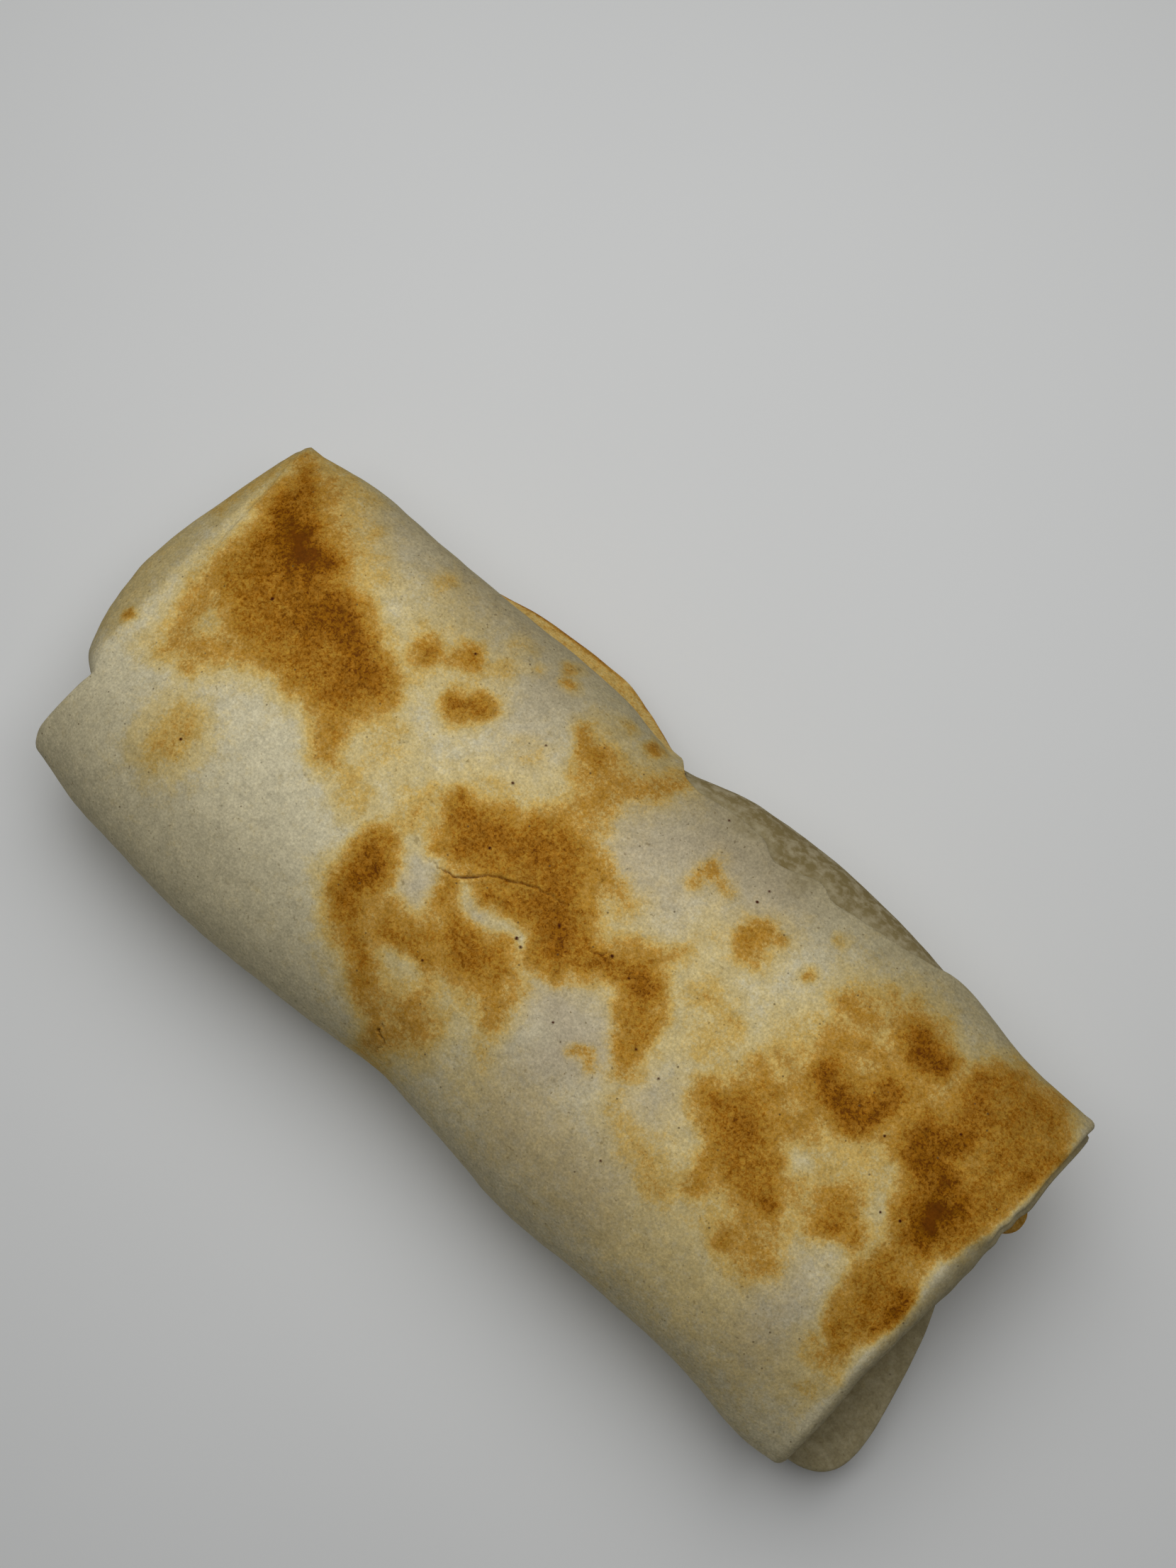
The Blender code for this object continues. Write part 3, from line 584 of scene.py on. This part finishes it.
TOP_BROWNING = (LEFT_SCORCH + LEFT_SPOTS + Y_PATCH + CENTRE + LOWER_CENTRE
                + MIDDLE_RIGHT + RIGHT_SPOTS + RIGHT_BAND + END_TINTS)

# Where a browned patch didn't touch the griddle, as (how much is missing, how soft its edge is, its route).
BARE = (
    (0.12, 2.5, ((-70.3, -3.4, 1.4),)), (0.30, 2.0, ((-60.3, 14.5, 0.6), (-59.8, 10.5, 0.4))),
    (0.35, 2.5, ((-69.0, 24.0, 1.6),)), (0.72, 2.2, ((-16.6, -11.6, 1.7),)),
    (0.36, 2.2, ((-7.4, -9.0, 1.2), (-2.8, -9.2, 1.0))),
    (0.60, 2.4, ((-10.6, -23.4, 1.8), (-8.0, -23.8, 1.6))),
    (0.40, 2.0, ((7.4, 5.6, 1.8), (10.0, 2.8, 1.8))), (0.85, 1.3, ((1.2, -7.9, 0.8), (2.8, -8.3, 0.6))),
    (0.10, 2.6, ((62.0, 2.2, 2.0), (66.0, 0.4, 1.2))), (0.85, 2.0, ((54.5, -3.3, 1.3),)),
    (0.25, 2.0, ((68.6, -3.3, 1.2),)), (0.15, 2.0, ((77.2, -3.4, 1.2),)),
    (0.30, 2.5, ((73.6, 13.9, 1.2),)), (0.60, 3.0, ((66.0, -12.0, 1.8), (67.0, -22.0, 2.4))),
    (0.12, 2.0, ((51.6, 13.6, 1.2),)), (0.50, 2.0, ((-25.6, 22.2, 1.0),)))
# Paler, greyer dough that stayed off the griddle.
GREY_DOUGH = (
    (0.85, 6.0, ((5.0, 17.0, 5.5), (12.0, 23.0, 6.0), (24.0, 25.0, 5.0))),
    (0.80, 5.0, ((3.0, 13.0, 3.0), (13.0, 12.5, 3.0))),
    (0.95, 4.0, ((12.5, -12.0, 4.2), (19.5, -13.5, 4.4), (17.0, -19.0, 3.5))),
    (0.60, 6.0, ((-21.0, 18.0, 4.0), (-23.0, 24.0, 5.0))), (0.60, 4.0, ((32.5, -12.0, 3.5),)),
    (0.90, 3.0, ((-16.6, -11.8, 1.8),)), (0.60, 2.6, ((-6.5, -9.0, 1.5),)),
    (0.60, 6.0, ((20.0, -26.0, 6.0), (34.0, -27.0, 5.0))),
    (0.50, 6.0, ((-60.0, 28.0, 3.0), (-30.0, 29.0, 3.0))),
    (0.60, 4.0, ((66.0, -16.0, 2.5), (67.0, -26.0, 3.0))))
# The griddle's other side: what lay on it second, seen only from below.
UNDER_BROWNING = (
    (0.60, 4.0, ((-58.0, -10.0, 8.0), (-50.0, 4.0, 9.0), (-40.0, 10.0, 5.0))),
    (0.85, 3.5, ((-55.0, -6.0, 4.0), (-49.0, 3.0, 4.0))),
    (0.55, 4.0, ((-30.0, -14.0, 6.0), (-20.0, -8.0, 7.0))), (0.80, 3.0, ((-24.0, -11.0, 3.0),)),
    (0.45, 4.0, ((-22.0, 14.0, 6.0),)),
    (0.62, 4.0, ((-4.0, 4.0, 8.0), (8.0, -4.0, 9.0), (20.0, 6.0, 7.0))),
    (0.88, 3.0, ((4.0, -2.0, 4.0), (10.0, -6.0, 3.0))),
    (0.50, 4.0, ((30.0, -16.0, 5.0), (38.0, -8.0, 6.0))),
    (0.62, 4.0, ((44.0, 12.0, 7.0), (55.0, 6.0, 8.0), (62.0, -6.0, 6.0))),
    (0.85, 3.0, ((50.0, 9.0, 3.5), (57.0, 3.0, 3.5))),
    (0.40, 4.0, ((-62.0, 16.0, 4.0), (-56.0, 20.0, 3.0))))


def painted(x, y, strokes):
    """The strokes laid over each other at each (x, y), the browner ones winning."""
    field = np.zeros(len(x))
    for level, softness, route in strokes:
        margin = max(r for _, _, r in route) + 2.5 * softness + 1.0
        low, high = np.min(route, axis=0) - margin, np.max(route, axis=0) + margin
        close = np.flatnonzero((x > low[0]) & (x < high[0]) & (y > low[1]) & (y < high[1]))
        value = level / (1.0 + np.exp(4.0 * (to_route(x[close], y[close], route) - 0.5) / (2.0 * softness)))
        field[close] = (field[close] ** 5 + value ** 5) ** 0.2
    return field


# The patches' outlines wander by a millimetre or two, as a sheet never lies flat on its griddle.
WANDERS = ((6.5, 1.7), (2.3, 0.8))  # as (spacing, how far)
noise.seed_set(20)  # or the wander would change with the clock
drift = np.array([sum((far * noise.noise_vector(Vector(p) / spacing) for spacing, far in WANDERS), Vector())
                  for p in spots])
u, v = x + drift[:, 0], y + drift[:, 1]
inside = marked(outer_turn, "inside")
around = marked(outer_turn, "around")
under = marked(outer_turn, "under")
to_edge = marked(outer_turn, "to_edge")
upper = rise(z, 9.0, 5.0) * (1.0 - under)
lower = 1.0 - rise(z, 1.0, 5.0)
brown = painted(u, v, TOP_BROWNING)
for amount, softness, route in BARE:
    brown *= 1.0 - amount * (1.0 - rise(to_route(u, v, route), -softness, 2.2 * softness))
brown = np.where(under > 0.5, 0.0, brown * upper)

# The flared part of the free edge is amber for 4 mm, and browner right on its rim.
flared = (rise(x, -55.0, 9.0) - rise(x, -7.0, 8.0)) * (1.0 - smooth(inside))
border = 1.0 - rise(to_edge, 4.0, 2.0)
rim = (1.0 - rise(to_edge, 0.3, 0.8)) * rise(drift[:, 0], -1.0, 1.4)
brown = np.maximum(brown, flared * (0.28 * (1.0 - under) * border + 0.40 * rim))
brown = np.maximum(brown, painted(u, v, UNDER_BROWNING) * lower)

# The right lip turns down before the griddle reaches it, further in at the front than at the back.
browned_to = 79.0 + 1.2 * rise(y, -2.0, 5.0) + 1.8 * rise(y, 4.0, 8.0)
brown *= 1.0 - 0.85 * rise(inside, 5.0, 7.0) * smooth(x / 10.0)
brown *= 1.0 - 0.8 * rise(x + 0.8 * drift[:, 0], browned_to, 2.0)
mark(outer_turn, "browning", brown)
mark(outer_turn, "grey", painted(u, v, GREY_DOUGH) * upper)

# The two flanks and the ends were only steamed. Their colour is also darkened as painted shade where they
# turn down from the top, the back flank the most; the flared edge gets less of it.
flank = rise(np.abs(around - 3.0), 12.0, 22.0) * np.where(around < 0, 1.15, 0.68)
left_end = 0.75 * rise(-x, 81.5, 2.5)
right_end = rise(x - 2.6 * rise(y, 4.0, 8.0), 80.0, 2.0)
steamed_and_shaded = np.maximum(flank * (1.0 - 0.7 * flared * border), np.maximum(left_end, right_end))
mark(outer_turn, "raw_and_shade", steamed_and_shaded)

# The layer under the free edge is damp, with flour caught along the edge. It shows through the thin edge.
floury = np.exp(-(np.maximum(to_edge - 1.0, 0.0) / 2.0) ** 2) * rise(drift[:, 0], -0.9, 1.2)
damp = under * (1.0 - 0.45 * floury) * rise(x, -8.0, 6.0)
damp *= 1.0 - 0.85 * rise(x + 5.0 * drift[:, 2], 46.0, 26.0)
damp *= rise(z + 2.0 * drift[:, 2], 3.0, 8.0) * (0.4 + 0.6 * rise(z + 2.0 * drift[:, 1], 13.0, 12.0))
thin = (1.0 - under) * (around < 0) * (1.0 - smooth(to_edge / 7.0))
thin *= rise(x, 2.0, 6.0) * (1.0 - rise(x, 40.0, 14.0))
damp = np.maximum(damp, 0.5 * thin * rise(drift[:, 1], 0.15, 0.8))
damp += 0.3 * smooth(inside / 8.0) * smooth(x / 10.0)
mark(outer_turn, "damp", np.clip(damp, 0.0, 1.0))

cracked = 0.86 * (1.0 - rise(split, -0.12, 0.2))
charred = 1.0 - rise(burnt, -0.1, 0.2)
mark(outer_turn, "char", np.maximum(cracked, charred) * top_side)


def linear(code):
    """An sRGB hex colour as linear RGBA."""
    channels = [int(code[k:k + 2], 16) / 255 for k in (1, 3, 5)]
    return [c / 12.92 if c <= 0.04045 else ((c + 0.055) / 1.055) ** 2.4 for c in channels] + [1.0]


def node(tree, kind, inputs=(), output=0, **settings):
    """Adds a node with its settings, fills its inputs with values or sockets, and gives one output."""
    made = tree.nodes.new("ShaderNode" + kind)
    for name, value in settings.items():
        setattr(made, name, value)
    for name, value in dict(inputs).items():
        if isinstance(value, bpy.types.NodeSocket):
            tree.links.new(value, made.inputs[name])
        else:
            made.inputs[name].default_value = value
    return made.outputs[output]


# The finish: a wheat-flour tortilla, rolled out, baked and then toasted on a griddle. To the eye it is matte,
# cream where it stayed off the griddle and yellow, amber, tan and scorched where it touched, with a dark
# grain in the browns. Most grain is drawn at its real size; the finest, under 0.2 mm, is drawn at 0.4 mm.
tortilla = bpy.data.materials.new("griddled_flour_tortilla")
tortilla.use_nodes = True
tree = tortilla.node_tree
shader = tree.nodes["Principled BSDF"]
where = node(tree, "TexCoord", output="Object")
at = {}
for name in ("browning", "grey", "raw_and_shade", "damp", "char"):
    at[name] = node(tree, "Attribute", output="Fac", attribute_name=name)

# Each grain as (its size in mm, detail, roughness, distortion).
GRAINS = {"fibres": (0.6, 5.0, 0.8, 0.5), "blisters": (2.2, 3.0, 0.6, 0.0), "pits": (2.2, 3.0, 0.5, 0.0),
          "clouds": (2.6, 7.0, 0.95, 0.0), "crumb": (0.42, 2.0, 0.6, 0.0), "bran": (0.7, 2.0, 0.6, 0.0),
          "smuts": (1.6, 2.0, 0.8, 0.0), "flour": (1.7, 4.0, 0.6, 0.2)}
grain = {}
for name, (size, detail, roughness, distortion) in GRAINS.items():
    grain[name] = node(tree, "TexNoise", {"Vector": where, "Scale": 1.0 / (size * MM), "Detail": detail,
                                          "Roughness": roughness, "Distortion": distortion})

# What each grain does, as (from, to) in the grain and (from, to) in its effect.
for name, low, high, least, most in (
        ("clouds", 0.3, 0.7, 0.70, 1.26), ("crumb", 0.3, 0.7, 0.82, 1.15), ("bran", 0.68, 0.74, 0.0, 1.0),
        ("smuts", 0.66, 0.74, 0.0, 0.7), ("flour", 0.44, 0.66, 0.0, 1.0)):
    grain[name] = node(tree, "MapRange", {"Value": grain[name], "From Min": low, "From Max": high,
                                          "To Min": least, "To Max": most})

# The grain swings the browning the most in the tan patches, and hardly at all in cream dough.
squared = node(tree, "Math", {0: at["browning"], 1: 2.0}, operation="POWER")
easing = node(tree, "Math", {0: at["browning"], 1: -0.6, 2: 1.0}, operation="MULTIPLY_ADD")
swing = node(tree, "Math", {0: squared, 1: easing}, operation="MULTIPLY")
swing = node(tree, "Math", {0: swing, 1: 6.8, 2: 0.22}, operation="MULTIPLY_ADD")
fibres = node(tree, "Math", {0: grain["fibres"], 1: 0.5}, operation="SUBTRACT")
uneven = node(tree, "Math", {0: fibres, 1: swing}, operation="MULTIPLY")
uneven = node(tree, "Math", {0: uneven, 1: -0.09}, operation="MAXIMUM")
broad_swing = node(tree, "Math", {0: at["browning"], 1: 0.5, 2: 0.16}, operation="MULTIPLY_ADD")
blisters = node(tree, "Math", {0: grain["blisters"], 1: 0.5}, operation="SUBTRACT")
broad = node(tree, "Math", {0: blisters, 1: broad_swing}, operation="MULTIPLY")
toast = node(tree, "Math", {0: at["browning"], 1: uneven}, operation="ADD")
toast = node(tree, "Math", {0: toast, 1: broad}, operation="ADD", use_clamp=True)

TOASTED = ((0.0, "#e6dbb6"), (0.13, "#e6d093"), (0.26, "#e2be6b"), (0.40, "#cd9b45"), (0.52, "#c39132"),
           (0.64, "#b47a24"), (0.76, "#a56a0e"), (0.88, "#8f5804"), (1.0, "#764003"))
colour = node(tree, "ValToRGB", {"Fac": toast})
ramp = colour.node.color_ramp
ramp.interpolation = "EASE"
for stop, (place, code) in zip((ramp.elements[0], ramp.elements[1]), (TOASTED[0], TOASTED[-1])):
    stop.position = place
    stop.color = linear(code)
for place, code in TOASTED[1:-1]:
    ramp.elements.new(place).color = linear(code)

# Grey dough, the mottling of the bake, brown specks of bran and smuts, steamed dough darkened further as
# painted shade, and dark dots.
untoasted = node(tree, "MapRange", {"Value": toast, "From Min": 0.1, "From Max": 0.35,
                                    "To Min": 1.0, "To Max": 0.0})
share = node(tree, "Math", {0: at["grey"], 1: untoasted}, operation="MULTIPLY")
colour = node(tree, "Mix", {0: share, 6: colour, 7: linear("#c9ba9b")}, 2, data_type="RGBA")
mottle = node(tree, "Math", {0: grain["clouds"], 1: grain["crumb"]}, operation="MULTIPLY")
colour = node(tree, "Mix", {0: 1.0, 6: colour, 7: mottle}, 2, data_type="RGBA", blend_type="MULTIPLY")
specks = node(tree, "Math", {0: grain["bran"], 1: grain["smuts"]}, operation="MAXIMUM")
share = node(tree, "Math", {0: at["grey"], 1: 0.25, 2: 0.55}, operation="MULTIPLY_ADD")
share = node(tree, "Math", {0: specks, 1: share}, operation="MULTIPLY")
colour = node(tree, "Mix", {0: share, 6: colour, 7: linear("#9a8c70")}, 2, data_type="RGBA",
              blend_type="MULTIPLY")
# Painted shade: the steamed flanks, ends and flaps are darkened towards #c4c0b6, less where they are browned.
share = node(tree, "Math", {0: toast, 1: -0.5, 2: 0.9}, operation="MULTIPLY_ADD")
share = node(tree, "Math", {0: at["raw_and_shade"], 1: share}, operation="MULTIPLY")
colour = node(tree, "Mix", {0: share, 6: colour, 7: linear("#c4c0b6")}, 2, data_type="RGBA",
              blend_type="MULTIPLY")
DOT_SPACING, DOT_CORE, DOT_RADIUS = 2.4, 0.05, 0.09  # the spacing in mm and then shares of it
from_dot = node(tree, "TexVoronoi", {"Vector": where, "Scale": 1.0 / (DOT_SPACING * MM)})
chosen = node(tree, "MapRange", {"Value": from_dot.node.outputs["Color"], "From Min": 0.48, "From Max": 0.52})
dot = node(tree, "MapRange", {"Value": from_dot, "From Min": DOT_RADIUS, "From Max": DOT_CORE})
share = node(tree, "Math", {0: chosen, 1: dot}, operation="MULTIPLY")
share = node(tree, "Math", {0: share, 1: 0.7}, operation="MULTIPLY")
colour = node(tree, "Mix", {0: share, 6: colour, 7: linear("#5c4a30")}, 2, data_type="RGBA")

# Damp dough goes taupe, with dry flour on it, and what is charred is a red-brown close to black.
share = node(tree, "Math", {0: grain["flour"], 1: 0.6}, operation="MULTIPLY")
damp_dough = node(tree, "Mix", {0: share, 6: linear("#84744b"), 7: linear("#bdb191")}, 2, data_type="RGBA")
share = node(tree, "Math", {0: at["damp"], 1: untoasted}, operation="MULTIPLY")
colour = node(tree, "Mix", {0: share, 6: colour, 7: damp_dough}, 2, data_type="RGBA")
colour = node(tree, "Mix", {0: at["char"], 6: colour, 7: linear("#481805")}, 2, data_type="RGBA")
tree.links.new(colour, shader.inputs["Base Color"])

# Cream dough is dusty with flour and the browned skin is a little smoother. The relief is 0.25 mm deep.
skin = node(tree, "MapRange", {"Value": toast, "From Min": 0.2, "From Max": 0.9,
                               "To Min": 0.82, "To Max": 0.62})
tree.links.new(skin, shader.inputs["Roughness"])
relief = node(tree, "Math", {0: grain["fibres"], 1: 0.5}, operation="MULTIPLY")
relief = node(tree, "Math", {0: relief, 1: grain["pits"]}, operation="ADD")
bump = node(tree, "Bump", {"Height": relief, "Strength": 0.35, "Distance": 0.25 * MM})
tree.links.new(bump, shader.inputs["Normal"])
shader.inputs["Specular IOR Level"].default_value = 0.06

outer_turn.data.materials.clear()
outer_turn.data.materials.append(tortilla)
bpy.ops.object.select_all(action="DESELECT")
outer_turn.select_set(True)
bpy.context.view_layer.objects.active = outer_turn
bpy.ops.object.shade_smooth()
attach(outer_turn, "root")
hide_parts("tortilla_wrap")


# ---- The tongue and the tab at the right end -------------------------------------------------------------
# The tongue is a corner of the folded-in side of the tortilla that has slipped out under the right lip and
# droops there, doubled over. The tab is a browned nib of an inner layer that peeps out above it.

# Each flap: how far in it starts, its height, thickness, tilt and cuts, where it ends at the front and back,
# its outer edge as (y, x), and how browned, steamed and damp it is. The steamed share also darkens it as
# painted shade, the most on the tongue, which lies in the shade of the lip.
FLAPS = {
    "tongue": {"inner": 62.0, "height": 9.6, "thick": 3.4, "tilt": 0.05, "cuts": 63, "ends": (-35.6, 7.0),
               "edge": ((-38, 87.0), (-36.4, 89.4), (-34, 90.9), (-31, 91.4), (-27.4, 91.2),
                        (-22.8, 90.6), (-18, 89.6), (-13, 88.5), (-7, 86.9), (-2, 85.1), (3, 82.7),
                        (7, 80.0)),
               # The tongue's steamed share is partly painted shade: it lies under the lip, out of the light.
               "marks": {"browning": 0.0, "grey": 0.0, "raw_and_shade": 0.9, "damp": 0.45, "char": 0.0}},
    "tab": {"inner": 74.0, "height": 20.4, "thick": 2.4, "tilt": 0.0, "cuts": 31, "ends": (10.6, 18.2),
            "edge": ((10.4, 83.8), (12.2, 85.9), (14.6, 86.4), (16.8, 85.6), (18.2, 84.2)),
            "marks": {"browning": 0.40, "grey": 0.0, "raw_and_shade": 0.5, "damp": 0.0, "char": 0.0}}}
BLUNTNESS = 5.0  # of the flaps' corners; 2 is an ellipse


def flap(name, inner, height, thick, tilt, cuts, ends, edge, marks):
    """A flap from a finely cut cube: its corners are drawn in, then it is flattened and stretched."""
    bpy.ops.object.select_all(action="DESELECT")
    bpy.ops.mesh.primitive_cube_add(size=2.0)
    piece = bpy.context.object
    piece.name = name

    def cut():
        bpy.ops.mesh.select_all(action="SELECT")
        bpy.ops.mesh.subdivide(number_cuts=cuts)

    edit(piece, cut)
    spots = places(piece) * MM
    spots *= ((np.abs(spots) ** BLUNTNESS).sum(axis=1) ** (-1.0 / BLUNTNESS))[:, None]
    y = (ends[0] + ends[1]) / 2 + spots[:, 1] * (ends[1] - ends[0]) / 2
    x = inner + (along(y, edge, 1.2) - inner) * (1.0 + spots[:, 0]) / 2
    z = height + spots[:, 2] * thick / 2 + tilt * (y - y.mean())
    move(piece, np.column_stack([x, y, z + [1.2 * lump(*p) for p in zip(x, y, z)]]))
    for kind, amount in marks.items():
        mark(piece, kind, np.full(len(spots), amount))
    return piece


for name, shape in FLAPS.items():
    piece = flap(name, **shape)
    piece.data.materials.clear()
    piece.data.materials.append(tortilla)
    bpy.ops.object.shade_smooth()
    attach(piece, "root")
    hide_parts("tortilla_wrap")


# ---- The table, the light and the view -------------------------------------------------------------------
# A plain pale table top, matt white laminate, under one broad soft light overhead and a little to the
# back left. The camera looks down steeply from the front right.

bpy.ops.object.select_all(action="DESELECT")
bpy.ops.mesh.primitive_plane_add(size=4.0)
table = bpy.context.object
table.name = "table"
surface = bpy.data.materials.new("matt_white_laminate")
surface.use_nodes = True
tree = surface.node_tree
shader = tree.nodes["Principled BSDF"]
where = node(tree, "TexCoord", output="Object")
haze = node(tree, "TexNoise", {"Vector": where, "Scale": 9.0, "Detail": 2.0})
tone = node(tree, "Mix", {0: haze, 6: linear("#ecedec"), 7: linear("#f1f2f1")}, 2, data_type="RGBA")
tree.links.new(tone, shader.inputs["Base Color"])
shader.inputs["Roughness"].default_value = 0.6
shader.inputs["Specular IOR Level"].default_value = 0.2
table.data.materials.append(surface)

camera = bpy.data.objects.new("camera", bpy.data.cameras.new("camera"))
bpy.context.scene.collection.objects.link(camera)
camera.data.lens, camera.data.sensor_width = 50.0, 36.0
AZIMUTH, ELEVATION, DISTANCE = math.radians(43.0), math.radians(75.0), 0.356
LOOKS_AT = Vector((-0.0111, 0.0209, 0.018))
flat = math.cos(ELEVATION)
back_off = Vector((math.sin(AZIMUTH) * flat, -math.cos(AZIMUTH) * flat, math.sin(ELEVATION)))
camera.location = LOOKS_AT + DISTANCE * back_off
camera.rotation_euler = back_off.to_track_quat("Z", "Y").to_euler()
bpy.context.scene.camera = camera

world = bpy.data.worlds.new("studio")
bpy.context.scene.world = world
world.use_nodes = True
sky = world.node_tree.nodes["Background"]
sky.inputs["Color"].default_value = linear("#f4f6fa")
sky.inputs["Strength"].default_value = 0.07

lamp = bpy.data.objects.new("softbox", bpy.data.lights.new("softbox", "AREA"))
bpy.context.scene.collection.objects.link(lamp)
lamp.data.size = 0.44
lamp.data.energy = 1.07
lamp.location = (-0.06, 0.085, 0.36)
lamp.rotation_euler = lamp.location.to_track_quat("Z", "Y").to_euler()
bpy.context.scene.view_settings.view_transform = "Standard"
